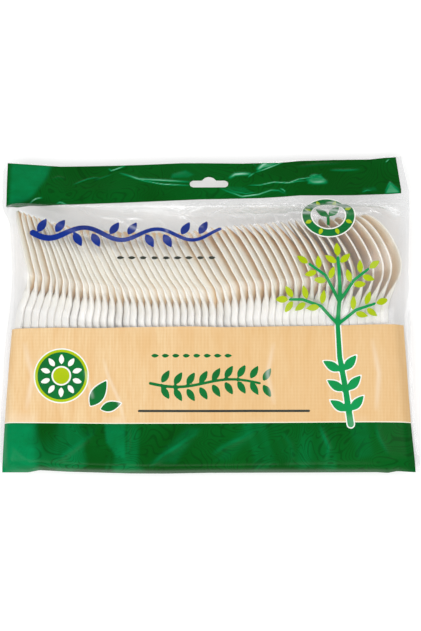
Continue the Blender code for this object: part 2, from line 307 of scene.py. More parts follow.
def half_width(along):
    """Half the width of handle, neck or bowl."""
    handle = HANDLE_WIDTH / 2 + (NECK_WIDTH - HANDLE_WIDTH) / 2 * along / NECK
    if along < END:
        return handle * (END_SHARE + (1 - END_SHARE) * math.sqrt(1 - (1 - along / END) ** 2))
    if along <= NECK:
        return handle
    widest = LENGTH - WIDEST
    if along < widest:
        return NECK_WIDTH / 2 + (WIDTH - NECK_WIDTH) / 2 * ease((along - NECK) / (widest - NECK))
    return WIDTH / 2 * math.sqrt(max(1 - ((along - widest) / WIDEST) ** 2, 0.0))


def bowl_depth(along):
    """How deep the bowl is hollowed, which is nothing along the handle."""
    share = min(max((along - NECK) / BOWL, 0.0), 1.0)
    return DEPTH * math.sin(math.pi * share ** HOLLOW_LEAN) ** HOLLOW_FULLNESS


def plain_section(along):
    """The five points across the face that the frame's plain spoons have."""
    bowl = ease((along - NECK + NECK_BEND / 2) / NECK_BEND)
    half, deep = half_width(along), bowl_depth(along)
    inner = half - PLAIN_FLANK * (1 - bowl) - PLAIN_SLOPE * half * bowl
    edge, wall = PLAIN_SKIRT * (1 - bowl), deep * (1 - (inner / half) ** 2)
    spots = ((-half, edge), (-inner, wall), (0.0, deep), (inner, wall), (half, edge))
    return [Vector((face_line(along) + depth, along, across)) for across, depth in spots]


def fine_section(along):
    """Points across the face: skirts along the handle, a round hollow in the bowl."""
    bowl = ease(along, NECK, NECK + SKIRT_END)
    half, deep = half_width(along), bowl_depth(along)
    face, points = face_line(along, BEND_BEFORE, BEND_AFTER), []
    for step in range(FACE_POINTS):
        across = half * math.sin(math.pi / 2 * (2 * step / (FACE_POINTS - 1) - 1))
        hollow = deep * (1 - (across / half) ** 2)
        skirt = SKIRT * (1 - ease(half - abs(across), 0.0, SKIRT_WIDTH))
        points.append(Vector((face + hollow + skirt * (1 - bowl), along, across)))
    return points


def spoon_mesh(name, places, section, wall, rim):
    """The spoon's face, closed down at the handle's end, thickened behind, with a rounded rim."""
    rows = [section(along) for along in places]
    side, middle = rows[0][0], rows[0][len(rows[0]) // 2]
    rows.insert(0, [Vector((face_line(0.0) + side.x - middle.x, 0.0, point.z)) for point in rows[0]])
    points, width = sum(rows, []), len(rows[0])
    starts = [i for i in range(len(points) - width) if (i + 1) % width]
    face = bpy.data.meshes.new(name + "_face")
    face.from_pydata(points, [], [(i, i + 1, i + width + 1, i + width) for i in starts])
    sheet = put(name + "_face", face)
    solidify = sheet.modifiers.new("wall", "SOLIDIFY")
    solidify.thickness, solidify.offset, solidify.use_even_offset = wall, 1.0, True
    if rim:
        bevel = sheet.modifiers.new("rim", "BEVEL")
        bevel.width, bevel.segments, bevel.limit_method = rim, 1, "ANGLE"
        bevel.angle_limit = math.radians(50)
    graph = bpy.context.evaluated_depsgraph_get()
    mesh = bpy.data.meshes.new_from_object(sheet.evaluated_get(graph))
    mesh.name = name
    bpy.data.objects.remove(sheet)
    mesh.shade_smooth()
    return mesh


def plain_spoon():
    """The spoon with the rows of points that the frame's spoons have."""
    places = [END * share for share in (0.06, 0.35, 1.0)]
    places += [NECK * share for share in (0.36, 0.66, 0.9)]
    places += [NECK + NECK_BEND * share for share in (0.2, 0.6, 1.1)]
    places += [LENGTH - WIDEST * share for share in (1.0, 0.55, 0.22, 0.015)]
    return spoon_mesh("plain_spoon", places, plain_section, PLAIN_WALL, 0)


def fine_spoon():
    """The spoon that is shown, with its rows closest at its ends and its neck."""
    bend = NECK - NECK_BEND / 2
    places = [END * share for share in (0.06, 0.2, 0.4, 0.7, 1.0)]
    places += [END + (bend - END) * step / HANDLE_ROWS for step in range(1, HANDLE_ROWS + 1)]
    places += [bend + BOWL / 2 * step / NECK_ROWS for step in range(1, NECK_ROWS + 1)]
    start = places[-1]
    for step in range(1, BOWL_ROWS):
        places.append(start + (LENGTH - start) * math.sin(math.pi / 2 * step / BOWL_ROWS))
    places.append(LENGTH - 0.1 * MM)
    mesh = spoon_mesh("spoon", places, fine_section, WALL, RIM)
    # Each point's tone, with painted shade deep in the bowl
    tone_and_painted_shade = mesh.attributes.new("tone_and_painted_shade", "FLOAT_COLOR", "POINT")
    for vertex in mesh.vertices:
        tone_and_painted_shade.data[vertex.index].color = spoon_tone_and_painted_shade(vertex.co.y, abs(vertex.co.z), vertex.normal.x > 0)
    return mesh


def spoon_tone_and_painted_shade(along, across, is_back):
    """The wall's colour: palest at the rim and the handle, and a painted shade deep in the bowl, warm tan
    on its back and paler on its inner face.
    """
    edge = across / half_width(min(max(along, 0.2 * MM), LENGTH - 0.3 * MM))
    bowl = ease(along, NECK - 6 * MM, NECK + 12 * MM)
    deep, near = (SHADE_PAINTED_BACK, BACK_TONE) if is_back else (SHADE_PAINTED_INNER, INNER_TONE)
    tone = Vector(deep).lerp(Vector(near), ease(edge, 0.5, 0.9))
    tone = tone.lerp(Vector(RIM_TONE), ease(edge, 0.92, 0.98))
    return Vector(HANDLE_TONE).lerp(tone, bowl)


def stance(mesh):
    """A surface's centre and three axes, the first and last pointing to its heavier tail."""
    corners = np.array([vertex.co for vertex in mesh.vertices])
    mesh.calc_loop_triangles()
    faces = np.array([tuple(face.vertices) for face in mesh.loop_triangles])
    a, b, c = corners[faces[:, 0]], corners[faces[:, 1]], corners[faces[:, 2]]
    area = np.linalg.norm(np.cross(b - a, c - a), axis=1)
    area /= area.sum()
    middle = (a + b + c) / 3
    centre = area @ middle
    # A triangle spreads as 9/12 of its weight at its middle and 1/12 at each corner would
    scatter = sum(np.einsum("n,ni,nj->ij", area * share, p - centre, p - centre)
                  for share, p in ((9 / 12, middle), (1 / 12, a), (1 / 12, b), (1 / 12, c)))
    axes = np.linalg.eigh(scatter)[1]
    tail = area @ ((middle - centre) @ axes) ** 3
    axes *= np.where(tail < 0, -1, 1)
    axes[:, 1] = np.cross(axes[:, 2], axes[:, 0])
    return centre, axes


def above_floor(level, low=-1.0 * MM, rest=0.45 * MM, high=1.8 * MM):
    """Press what would hang under the bag's back up against it."""
    if level > high:
        return level
    return rest + (high - rest) * max(level - low, 0.0) / (high - low)


def lay_spoons(material):
    """Put the fine spoon where each of the frame's spoons lies."""
    rng = random.Random(5)
    home, home_axes = stance(plain_spoon())
    mesh = fine_spoon()
    mesh.materials.append(material)
    spoons = []
    for name in SPOON_NAMES:
        centre, axes = stance(NODES[name].data)
        turn = axes @ home_axes.T
        matrix = Matrix(turn).to_4x4()
        matrix.translation = centre - turn @ home
        own = mesh.copy()
        own.transform(matrix)
        lean = rng.uniform(-LEAN, LEAN)
        for vertex in own.vertices:
            vertex.co.z = above_floor(vertex.co.z)
            vertex.co.x += lean * ease(vertex.co.y, NECK_PLACE, BOWL_PLACE)
        spoon = put("fine_" + name, own)
        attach(spoon, "root")
        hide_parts(name)
        spoons.append(spoon)
    return spoons


# The film. Places and levels are in millimetres: x across, y from the fold up to the header

def shifted(curve, by):
    """A line across the bag, moved up it."""
    return tuple((x, y + by) for x, y in curve)


# The edges of the film and its print as (y, x), and the levels of its welds as (y, level)
LEFT_EDGE = ((-100.7, -133.0), (-81, -133.2), (-62, -132.9), (-43, -131.9), (-31.6, -131.7),
             (-16.3, -130.4), (-0.9, -128.6), (14.6, -127.4), (26, -127.0), (38, -127.7), (54, -128.7),
             (58, -129.5), (62, -130.9), (66, -133.4), (70, -134.5), (92, -134.7), (103, -134.6))
RIGHT_EDGE = ((-100.7, 132.3), (-92.3, 132.2), (-84.8, 131.4), (-77.2, 130.5), (-69.7, 129.8),
              (-54.5, 128.9), (-31.6, 128.4), (-8.6, 127.7), (14.6, 127.1), (26, 126.9), (46, 127.5),
              (54, 128.1), (70, 128.5), (80, 128.6), (86.6, 127.5), (95.2, 126.1), (104, 124.8))
PRINT_LEFT = ((-100.7, -131.5), (-70, -129.9), (-10, -126.0), (26, -124.6), (56, -126.6), (66, -130.6),
              (70, -131.9), (101, -132.3))
PRINT_RIGHT = ((-100.7, 129.5), (-85, 128.0), (-70, 126.7), (-8, 123.0), (60, 122), (80.6, 123.6),
               (105, 121.2))
WELD_LEVEL = ((-100.7, 8.0), (-90.5, 9.6), (6.7, 15.1), (70.7, 15.1))
HEADER_LEVEL = ((70.7, 15.1), (80.7, 13.9), (100.7, 9.1), (106, 7.7))
# The pocket lies between the fold and the header's weld. A side weld is FIN wide, and the pocket is
# full at SHOULDER inside it, and at FOOT_ROUND and HEAD_ROUND from its ends
SEAM, FOLD = 70.7, -102.2
FIN, SHOULDER, FOOT_ROUND, HEAD_ROUND = 3.0, 8.5, 3.5, 3.0
# The film's gaps to the spoons, what it is lifted by in the end, and how far its folds may press in
OVER_SPOONS, UNDER_SPOONS, LIFT, FOLD_PRESS = 0.35, 0.2, 0.25, 0.2
# The front's sag between two holds, for each square millimetre of its distances to them
SAG = 0.0055
# The lowest and highest level of the back film, and half the gap between the films where they meet
BACK_LOWEST, BACK_HIGHEST, HALF_GAP = 0.2, 3.0, 0.12
# The corners of the grid for levels, how far off its rays start, and levels for no spoon
GRID_LOW, GRID_HIGH, RAY_START = (-136.0, -103.0), (136.0, 108.0), 200
BELOW_ALL, ABOVE_ALL, FAR = -1.0, 99.0, 1e9

# The lines across the bag that the print and the edges follow: (x, y)
FOLD_LINE = ((-132, -101.3), (-115, -101.3), (-108, -99.9), (-90, -100.9), (-50, -102.0), (-30, -102.1),
             (0, -101.6), (60, -101.4), (105, -101.2), (112, -101.6), (118, -100.5), (132, -101.4))
BAND_LINE = ((-132, -71.1), (-60, -71.7), (0, -71.4), (132, -70.5))
CREAM_LINE = shifted(BAND_LINE, 0.6)
KRAFT_LINE = ((-132, -11.6), (-97, -11.0), (-71, -11.2), (-58, -10.7), (-45, -10.6), (-19, -10.2),
              (-7, -10.2), (6, -10.6), (45, -10.1), (80, -9.8), (117, -8.4), (132, -8.2))
HEADER_LINE = ((-134, 68.8), (-117, 70.1), (-107, 70.0), (-97, 70.6), (-84, 71.0), (-58, 72.0),
               (-40, 72.8), (-6, 74.4), (6, 74.6), (32, 75.2), (45, 76.0), (58, 77.1), (71, 77.1),
               (92, 77.2), (117, 78.1), (132, 79.4))
HEADER_TOP = ((-134, 100.0), (-118, 99.0), (-98, 97.7), (-64, 98.3), (-45, 98.8), (-19, 100.1),
              (-6, 100.1), (20, 99.6), (45, 100.1), (58, 101.6), (80, 102.5), (104, 102.8), (114, 104.0),
              (126, 104.8))
TOP_LINE = shifted(HEADER_TOP, 0.9)


def read(curve, places):
    """Read a curve of (place, value) points."""
    xs, ys = zip(*curve)
    return np.interp(places, xs, ys)


def reach_grid(spoons, side):
    """The grid's places, one a millimetre, and how high (side 1) or low (-1) the spoons reach there."""
    verts, faces = [], []
    for spoon in spoons:
        base = len(verts)
        verts += [vertex.co for vertex in spoon.data.vertices]
        faces += [[base + i for i in polygon.vertices] for polygon in spoon.data.polygons]
    tree = BVHTree.FromPolygons(verts, faces)
    xs, ys = (np.arange(low, high + 1.0) for low, high in zip(GRID_LOW, GRID_HIGH))
    reach = np.full((len(xs), len(ys)), np.nan)
    for i, x in enumerate(xs):
        for j, y in enumerate(ys):
            start = Vector((x * MM, y * MM, side * RAY_START * MM))
            hit = tree.ray_cast(start, Vector((0, 0, -side)))[0]
            if hit:
                reach[i, j] = hit.z / MM
    return xs, ys, reach


def spread(level, reach, pick):
    """The highest or lowest level within reach cells."""
    for axis in (0, 1):
        base = level
        for shift in range(-reach, reach + 1):
            level = pick(level, np.roll(base, shift, axis=axis))
    return level


def blurred(level, rounds):
    """The level, evened out with its neighbours over a number of rounds."""
    for _ in range(rounds):
        padded = np.pad(level, 1, mode="edge")
        level = (padded[2:, 1:-1] + padded[:-2, 1:-1] + padded[1:-1, 2:] + padded[1:-1, :-2]
                 + 4 * padded[1:-1, 1:-1]) / 8
    return level


def taut(ys, tops, sag):
    """The line of a slack film over the tops: the hull above them, sagging between its holds."""
    hull = []
    for index in range(len(ys)):
        while len(hull) > 1:
            a, b = hull[-2:]
            if (ys[b] - ys[a]) * (tops[index] - tops[a]) - (tops[b] - tops[a]) * (ys[index] - ys[a]) < 0:
                break
            hull.pop()
        hull.append(index)
    level = np.interp(ys, ys[hull], tops[hull])
    for a, b in zip(hull, hull[1:]):
        inside = slice(a, b + 1)
        level[inside] -= sag * (ys[inside] - ys[a]) * (ys[b] - ys[inside])
    return np.maximum(level, tops)


class Film:
    """The level of the bag's front and back film at any place."""

    def __init__(self, spoons):
        self.xs, self.ys, tops = reach_grid(spoons, 1)
        bottoms = reach_grid(spoons, -1)[2]
        grid_x, grid_y = np.meshgrid(self.xs, self.ys, indexing="ij")
        self.weld, self.full = read(WELD_LEVEL, grid_y), self.fullness(grid_x, grid_y)
        self.pocket = (self.ys > FOLD) & (self.ys < SEAM)
        self.tops = spread(np.where(np.isnan(tops), BELOW_ALL, tops), 1, np.maximum) + OVER_SPOONS
        bottoms = spread(np.where(np.isnan(bottoms), ABOVE_ALL, bottoms), 2, np.minimum) - UNDER_SPOONS
        self.front, self.back = self.front_grid(), self.back_grid(bottoms)

    def front_grid(self):
        """A slack sheet over the spoons, lifted clear of them again after each smoothing."""
        ys, weld, pocket = self.ys[self.pocket], self.weld, self.pocket
        floor = np.where(self.full > 0, self.tops, BELOW_ALL)
        wide = spread(self.tops, 6, np.maximum)
        front = weld.copy()
        for i in range(len(self.xs)):
            front[i, pocket] = taut(ys, np.maximum(wide[i, pocket], weld[i, pocket]), SAG)
        front[:, pocket] = blurred(front[:, pocket], 16)
        front = weld + (front - weld) * self.full
        for _ in range(4):
            front = blurred(np.maximum(front, floor), 2)
        return np.maximum(front, floor - LIFT) + LIFT * (self.full > 0)

    def back_grid(self, bottoms):
        """A taut sheet under the spoons, on the floor or a little above it."""
        ys, weld, pocket = self.ys[self.pocket], self.weld, self.pocket
        under = np.where(bottoms > ABOVE_ALL / 2, weld, np.minimum(bottoms, BACK_HIGHEST))
        back = weld.copy()
        for i in range(len(self.xs)):
            back[i, pocket] = -taut(ys, -np.minimum(under[i, pocket], weld[i, pocket]), 0.0)
        back[:, pocket] = np.maximum(blurred(back[:, pocket], 3), 0.0)
        return weld + (back - weld) * self.full

    def fullness(self, x, y):
        """0 at the welds and 1 over the full pocket. The powers make its shoulders round."""
        left, right = read(LEFT_EDGE, y) + FIN, read(RIGHT_EDGE, y) - FIN
        inside = np.clip(np.minimum(x - left, right - x) / SHOULDER, 0, 1)
        foot, head = (y - read(FOLD_LINE, x)) / FOOT_ROUND, (SEAM + 0.5 - y) / HEAD_ROUND
        ends = np.clip(np.minimum(foot, head), 0, 1)
        return (1 - (1 - inside) ** 2.5) ** 0.4 * (1 - (1 - ends) ** 2.2) ** 0.5

    def level(self, grid, x, y):
        """Read a grid of levels between its points, and up to just short of its last ones."""
        i = np.clip(x - self.xs[0], 0, len(self.xs) - 1.001)
        j = np.clip(y - self.ys[0], 0, len(self.ys) - 1.001)
        a, b = i.astype(int), j.astype(int)
        s, t = i - a, j - b
        return ((grid[a, b] * (1 - s) + grid[a + 1, b] * s) * (1 - t)
                + (grid[a, b + 1] * (1 - s) + grid[a + 1, b + 1] * s) * t)

    def sheet(self, x, y, side):
        """Levels of the front (side 1) or back (side -1) film, with its folds."""
        weld, header = read(WELD_LEVEL, y), read(HEADER_LEVEL, y) + header_folds(x, y)
        full = self.fullness(x, y)
        pocket = self.level(self.front if side > 0 else self.back, x, y)
        if side > 0:
            over_spoons = self.level(self.tops, x, y) - FOLD_PRESS
            least = np.where(full > 0.02, over_spoons, BELOW_ALL)
            pocket = np.maximum(pocket + pocket_folds(x, y) * full, least)
        else:
            pocket = np.maximum(pocket, BACK_LOWEST)
        inside = y - read(FOLD_LINE, x)
        pocket = weld + (pocket - weld) * np.clip(inside / 1.5, 0, 1) ** 0.5
        share = ease(y, SEAM - 1.0, SEAM + 1.0)
        rim = np.minimum(np.minimum(inside, read(TOP_LINE, x) - y),
                         np.minimum(x - read(LEFT_EDGE, y), read(RIGHT_EDGE, y) - x))
        return pocket * (1 - share) + header * share + HALF_GAP * side * ease(rim, 0.0, 1.0)


# Creases: points, height, width, and how pale the line is painted, as a highlight with some whitening
# of the stressed film. Patches of painted reflection: corners, how pale the patch is, and how soft its
# edge
HEADER_CREASES = (
    (((-66.8, 96.6), (-64.8, 94.7), (-61, 96), (-55.1, 98.4)), 0.3, 0.5, 0.8),
    (((-60, 93.4), (-51, 90.3), (-46.5, 88.6), (-31.2, 87.7), (-12.5, 86.5)), 0.5, 0.8, 0.75),
    (((-50, 89.2), (-43, 87.2), (-31.2, 84.9), (-12.5, 83.9)), 0.4, 0.55, 0.7),
    (((-89.9, 84.4), (-80.0, 88.8), (-75.1, 89.8), (-70, 89.2)), 0.25, 0.5, 0.35),
    (((-76, 87.6), (-68, 90.6), (-64, 92.4)), 0.2, 0.5, 0.25),
    (((-117.2, 70.8), (-115, 73.4), (-112.9, 74.8), (-108.6, 75.6)), 0.35, 0.6, 0.8),
    (((-99.8, 71.0), (-97.5, 72.4), (-95.7, 71.9), (-91.5, 69.6)), 0.3, 0.6, 0.7),
    (((-25.0, 90.1), (-20.0, 91.4), (-15.6, 91.2)), 0.4, 2.0, 0.25),
    (((11.5, 88.9), (16, 91.8), (20.9, 92.2), (27, 92.0)), 0.5, 1.3, 0.75),
    (((24.2, 89.6), (28.6, 92.9)), 0.3, 0.5, 0.7),
    (((28.6, 92.9), (34.9, 95.2), (43.4, 98.8), (49, 101.2)), 0.35, 0.5, 0.75),
    (((30, 94.5), (34.4, 98.6), (38, 99.6)), 0.5, 1.7, 0.7),
    (((40, 99.8), (44, 100.6)), 0.3, 1.1, 0.45),
    (((4.4, 83.2), (10.7, 80.0), (20.4, 76.3), (31.1, 77.7), (39.2, 80.6), (44.1, 80.4), (49.5, 77.6)),
     0.45, 0.6, 0.7),
    (((8, 83), (16, 79.4), (23, 78.3), (30, 79.4)), 0.25, 0.5, 0.45),
    (((45, 82), (47.6, 80.6), (48.6, 78.9)), 0.3, 0.5, 0.75),
    (((23.5, 84.2), (32.0, 84.2), (40.9, 86.2), (50.6, 85.7), (57.2, 88.4), (63.7, 89.4), (73.5, 92.6)),
     0.4, 0.5, 0.75),
    (((48, 86.9), (50.9, 85.6), (57, 87.0), (63, 87.4)), 0.25, 0.45, 0.5),
    (((62, 88.8), (66.6, 86.4), (76.5, 86.6)), 0.7, 1.9, 0.6),
    (((64, 90.6), (70, 92.0)), 0.3, 0.9, 0.5),
    (((76.9, 95.2), (88, 95.0), (98.1, 95.6)), 0.3, 1.0, 0.28),
    (((112.8, 79.0), (116.4, 86.4), (119.5, 83.4), (122.9, 80.9)), 0.4, 0.7, 0.5),
    (((98.0, 79.3), (101.6, 80.7), (104.5, 80.5)), 0.2, 0.5, 0.5),
    (((114.2, 100.6), (117.0, 103.2)), 0.2, 0.45, 0.7),
    (((-104, 88), (-99, 90), (-94, 88.6)), 0.25, 0.9, 0.12),
    (((55, 97), (70, 99), (88, 100)), 0.3, 1.2, 0.12),
)
# Patches painted pale as reflections of the lamps on tilted film
HEADER_REFLECTIONS_PAINTED = (
    (((-133, 103), (-100, 101), (-104.0, 88), (-114.4, 73.0), (-133, 62)), 0.27, 5.0),
    (((-28, 87.5), (-14, 88.5), (-8, 92), (-16, 96.5), (-26, 93.5)), 0.22, 2.6),
    (((111.8, 77.5), (116.2, 87.4), (122.8, 80.8), (123.4, 78.2)), 0.5, 1.6),
    (((96.5, 78.6), (98.0, 83.5), (108, 84.5), (110, 79.0)), 0.16, 2.6),
    (((62, 84.5), (64, 91), (72, 92.4), (77, 87), (68, 84.2)), 0.4, 1.6),
    (((29.5, 94.5), (32.5, 99.6), (47.5, 101.6), (40, 96.8)), 0.42, 1.4),
    (((26, 99.6), (30, 101), (31, 95)), 0.22, 1.8),
    (((8, 84.4), (12, 80.2), (20, 77.8), (30, 78.8), (22, 83.8)), 0.16, 1.8),
)
GREEN_CREASES = (
    (((-98.4, -96.3), (-88, -88.5), (-77.0, -80.4), (-71.7, -75.8)), 0.8, 2.6, 0.2),
    (((-38.8, -99.2), (-30, -91.5), (-22.2, -86.6), (-9.7, -78.1), (-6.6, -74.2)), 0.8, 2.6, 0.26),
    (((0.3, -91.8), (8, -86), (19.7, -80.4), (33.2, -72.7)), 0.7, 2.6, 0.22),
    (((67.6, -71.7), (70.8, -78.8), (73.9, -86.6), (72.5, -94.1)), 0.6, 1.8, 0.24),
    (((-51.7, -70.5), (-51.2, -80), (-51.7, -93.8)), 0.6, 1.3, 0.16),
    (((103.4, -70.5), (105.5, -80), (112, -92)), 0.5, 2.2, 0.15),
    (((-126, -84), (-118, -90), (-112, -97)), 0.5, 2.2, 0.16),
    (((44, -76), (50, -84), (52, -94)), 0.5, 2.4, 0.12),
)
# Lighter patches on the foot band, painted as reflections of the lamps
GREEN_REFLECTIONS_PAINTED = (
    (((-140, -60), (-106, -62), (-102, -108), (-140, -110)), 0.3, 9.0),
    (((-69, -66), (-51.6, -66), (-51.8, -96), (-60, -94), (-67, -84)), 0.22, 3.0),
    (((81, -64), (101, -64), (106, -94), (90, -98)), 0.12, 6.0),
    (((-46, -100), (-20, -100), (0, -72), (-16, -70)), 0.14, 6.0),
    (((-4, -98), (14, -98), (44, -66), (22, -66)), 0.12, 6.0),
    (((-106, -100), (-84, -100), (-64, -70), (-78, -70)), 0.1, 6.0),
)
KRAFT_CREASES = (
    (((-67.7, -30.5), (-64.5, -41.8), (-57.4, -57.2), (-53.5, -73.1)), 0.5, 1.5, 0.5),
    (((-79.0, -37.9), (-73.9, -56.1)), 0.4, 1.4, 0.5),
    (((40, -20), (36, -40), (40, -60)), 0.35, 2.0, 0.5),
    (((102, -18), (106, -40), (104, -64)), 0.4, 2.2, 0.5),
    (((-118, -20), (-112, -42), (-116, -64)), 0.4, 2.4, 0.5),
)
# Wrinkles start between this line and the header
WRINKLE_FOOT = ((-130, 70), (-60, 60), (0, 58), (60, 62), (126, 70))


def stretches(x, y, points):
    """For each stretch of a line of points: how far places are from it, and the line's share there."""
    lengths = [math.dist(a, b) for a, b in zip(points, points[1:])]
    run, total = 0.0, sum(lengths)
    for (ax, ay), (bx, by), length in zip(points, points[1:], lengths):
        t = np.clip(((x - ax) * (bx - ax) + (y - ay) * (by - ay)) / length ** 2, 0, 1)
        yield np.hypot(x - ax - t * (bx - ax), y - ay - t * (by - ay)), (run + t * length) / total
        run += length


def trace(x, y, points, width):
    """1 on a line of points, falling to 0 beside it and towards both its ends."""
    best, along = np.full(x.shape, FAR), np.zeros(x.shape)
    for distance, share in stretches(x, y, points):
        along = np.where(distance < best, share, along)
        best = np.minimum(best, distance)
    fade = np.clip(4 * along * (1 - along), 0, 1) ** 0.6
    return fade * np.exp(-(best / width) ** 2)


def patch(x, y, corners, soft):
    """1 well inside a patch with straight sides, falling to 0 at its edge."""
    middle = np.mean(corners, axis=0)
    inside = np.full(x.shape, FAR)
    for (ax, ay), (bx, by) in zip(corners, corners[1:] + corners[:1]):
        gap = ((x - ax) * (by - ay) - (y - ay) * (bx - ax)) / math.dist((ax, ay), (bx, by))
        way = (middle[0] - ax) * (by - ay) - (middle[1] - ay) * (bx - ax)
        inside = np.minimum(inside, gap if way > 0 else -gap)
    return ease(inside, 0.0, soft)


def wrinkles():
    """Short curved wrinkles of the clear film between the bowls and the header, fewer at the left."""
    rng = random.Random(23)
    lines = []
    for _ in range(130):
        x = rng.uniform(-112, 127)
        if x < -10 and rng.random() < 0.5:
            continue
        y = rng.uniform(read(WRINKLE_FOOT, x), read(HEADER_LINE, x) - 1.0)
        turn = rng.gauss(-0.1, 0.45)
        length = rng.uniform(8, 26)
        points = []
        for _ in range(5):
            points.append((x, y))
            x += length / 4 * math.cos(turn)
            y += length / 4 * math.sin(turn)
            turn += rng.gauss(0.0, 0.3)
        # How pale the wrinkle's painted highlight is, fainter at the left
        pale = rng.uniform(0.25, 0.95) * (1.0 if points[0][0] > -5 else 0.55)
        lines.append((tuple(points), rng.uniform(0.12, 0.4), rng.uniform(0.6, 1.5), pale))
    return tuple(lines)


WRINKLES = wrinkles()


def raised(x, y, level, creases):
    """A level with creases on it."""
    return sum((height * trace(x, y, points, width) for points, height, width, _ in creases), level)


def paled(x, y, marks, creases, narrow=0.8):
    """Marks with those of creases, which are a little narrower than the creases."""
    for points, _, width, pale in creases:
        marks = np.maximum(marks, pale * trace(x, y, points, narrow * width))
    return marks


def header_folds(x, y):
    """Waves and creases of the flat header."""
    wave = 0.5 * np.sin(x / 31 + 0.6) + 0.3 * np.sin(x / 13 + y / 19)
    return raised(x, y, wave * ease(y, 74, 92), HEADER_CREASES)


def pocket_folds(x, y):
    """Wrinkles of the full pocket's front film, on top of its own shape."""
    return raised(x, y, 0.0, WRINKLES + GREEN_CREASES + KRAFT_CREASES)


def painted_highlights_and_whitening(x, y):
    """How pale the film is painted: highlights along its creases, with some whitening of the stressed
    film, and reflections in patches.
    """
    marks = paled(x, y, 0.0, WRINKLES) * ease(read(HEADER_LINE, x) - y, 0.0, 1.5)
    marks = paled(x, y, marks, HEADER_CREASES + GREEN_CREASES)
    marks = paled(x, y, marks, KRAFT_CREASES, 0.7)
    for corners, pale, soft in HEADER_REFLECTIONS_PAINTED + GREEN_REFLECTIONS_PAINTED:
        marks = np.maximum(marks, pale * patch(x, y, corners, soft))
    return np.clip(marks, 0, 1)


# The print: plain ornaments of leaves, rings and lines. Each shape is below 0 inside

INKS = {
    "edge_white": ((250, 250, 244), (246, 246, 240)),
    "leaf_green": ((0, 152, 80), (0, 140, 68)),
    "deep_green": ((0, 116, 50), (0, 104, 42)),
    "lime": ((178, 200, 12), (166, 192, 0)),
    "deep_blue": ((0, 46, 142), (0, 36, 126)),
    "dark_grey": ((62, 66, 58), (52, 56, 50)),
}
# The hang slot: a bar with round ends, and a hump on its upper edge
SLOT_X, SLOT_Y, SLOT_REACH, SLOT_RADIUS = -1.0, 85.1, 10.1, 2.4
HUMP_WIDTH, HUMP_HEIGHT, HUMP_BASE = 4.5, 3.6, 1.4
# The sprig's stem, and the twigs that leave it, each with its leaves' shares of its length
SPRIG = ((88.0, -72.0), (85.0, -50.0), (81.5, -30.0), (80.5, -10.0), (81.5, 10.0), (80.0, 31.0))
TWIGS = (
    (((80.6, -9.0), (70.0, 2.0), (58.0, 6.0), (50.0, 6.0)), (0.42, 0.68, 0.92)),
    (((81.2, 5.0), (72.0, 20.0), (62.0, 27.0)), (0.45, 0.75)),
    (((80.6, -9.0), (92.0, 0.0), (104.0, 4.0)), (0.45, 0.75)),
    (((81.4, 5.0), (90.0, 17.0), (99.0, 24.0)), (0.45, 0.75)),
)
# The middles of the round badge and of the oval rosette, and the oval's height for its width
BADGE, OVAL, OVAL_SQUASH = (-94.0, -41.5), (74.7, 59.6), 0.9


def slot_gap(x, y):
    """How far a place is outside the hang slot."""
    bar = np.hypot(np.maximum(np.abs(x - SLOT_X) - SLOT_REACH, 0), y - SLOT_Y) - SLOT_RADIUS
    across = (x - SLOT_X) / HUMP_WIDTH * HUMP_HEIGHT
    hump = np.hypot(across, np.maximum(y - SLOT_Y - HUMP_BASE, 0)) - HUMP_HEIGHT
    return np.minimum(bar, np.where(y < SLOT_Y, FAR, hump))


def leaf(middle, length, width, turn):
    """A pointed leaf, widest behind its middle, its tip turned from +x by turn degrees."""
    c, s = math.cos(math.radians(turn)), math.sin(math.radians(turn))

    def gap(x, y):
        u = 2 * ((x - middle[0]) * c + (y - middle[1]) * s) / length
        v = (y - middle[1]) * c - (x - middle[0]) * s
        return np.abs(v) - width / 2 * (1 - u * u) * np.clip(1 - 0.25 * u, 0.75, 1.25)
    return gap


def stroke(points, width, tip=1.0):
    """A stroke along points, with its width at the end times tip."""
    def gap(x, y):
        best = np.full(x.shape, FAR)
        for distance, share in stretches(x, y, points):
            best = np.minimum(best, distance - width / 2 * (1 + (tip - 1) * share))
        return best
    return gap


def disc(middle, radius):
    return lambda x, y: np.hypot(x - middle[0], y - middle[1]) - radius


def ring(middle, inner, outer, squash=1.0):
    def gap(x, y):
        reach = np.hypot(x - middle[0], (y - middle[1]) / squash)
        return np.maximum(reach - outer, inner - reach)
    return gap


def all_of(shapes, swell=0.0):
    """Shapes as one, each grown by swell."""
    def gap(x, y):
        best = np.full(x.shape, FAR)
        for shape in shapes:
            best = np.minimum(best, shape(x, y))
        return best - swell
    return gap


def ribbon_shapes():
    """A waving band with leaves on both its sides."""
    middle, swing, wave = 48, 4.2, 7.2
    points = [(x, middle + swing * math.sin(x / wave)) for x in range(-112, 8, 2)]
    shapes = [stroke(points, 4.0, 0.55)]
    for step in range(10):
        x = -106.337 + 11.31 * step
        side = 1 if math.sin(x / wave) < 0 else -1
        shapes.append(leaf((x, middle + side * 4.6), 11.0, 5.2, side * 62))
    return shapes


def round_leaves(middle, reach, squash, count, length, width):
    """Leaves that point outwards round an oval."""
    shapes = []
    for step in range(count):
        turn = 2 * math.pi * (step + 0.5) / count
        place = (middle[0] + reach * math.cos(turn), middle[1] + squash * reach * math.sin(turn))
        shapes.append(leaf(place, length, width, math.degrees(turn)))
    return shapes


def leaf_from(x, y, reach, turn, length, width):
    """A leaf that points away from a place, its middle at reach from it."""
    middle = (x + reach * math.cos(math.radians(turn)), y + reach * math.sin(math.radians(turn)))
    return leaf(middle, length, width, turn)


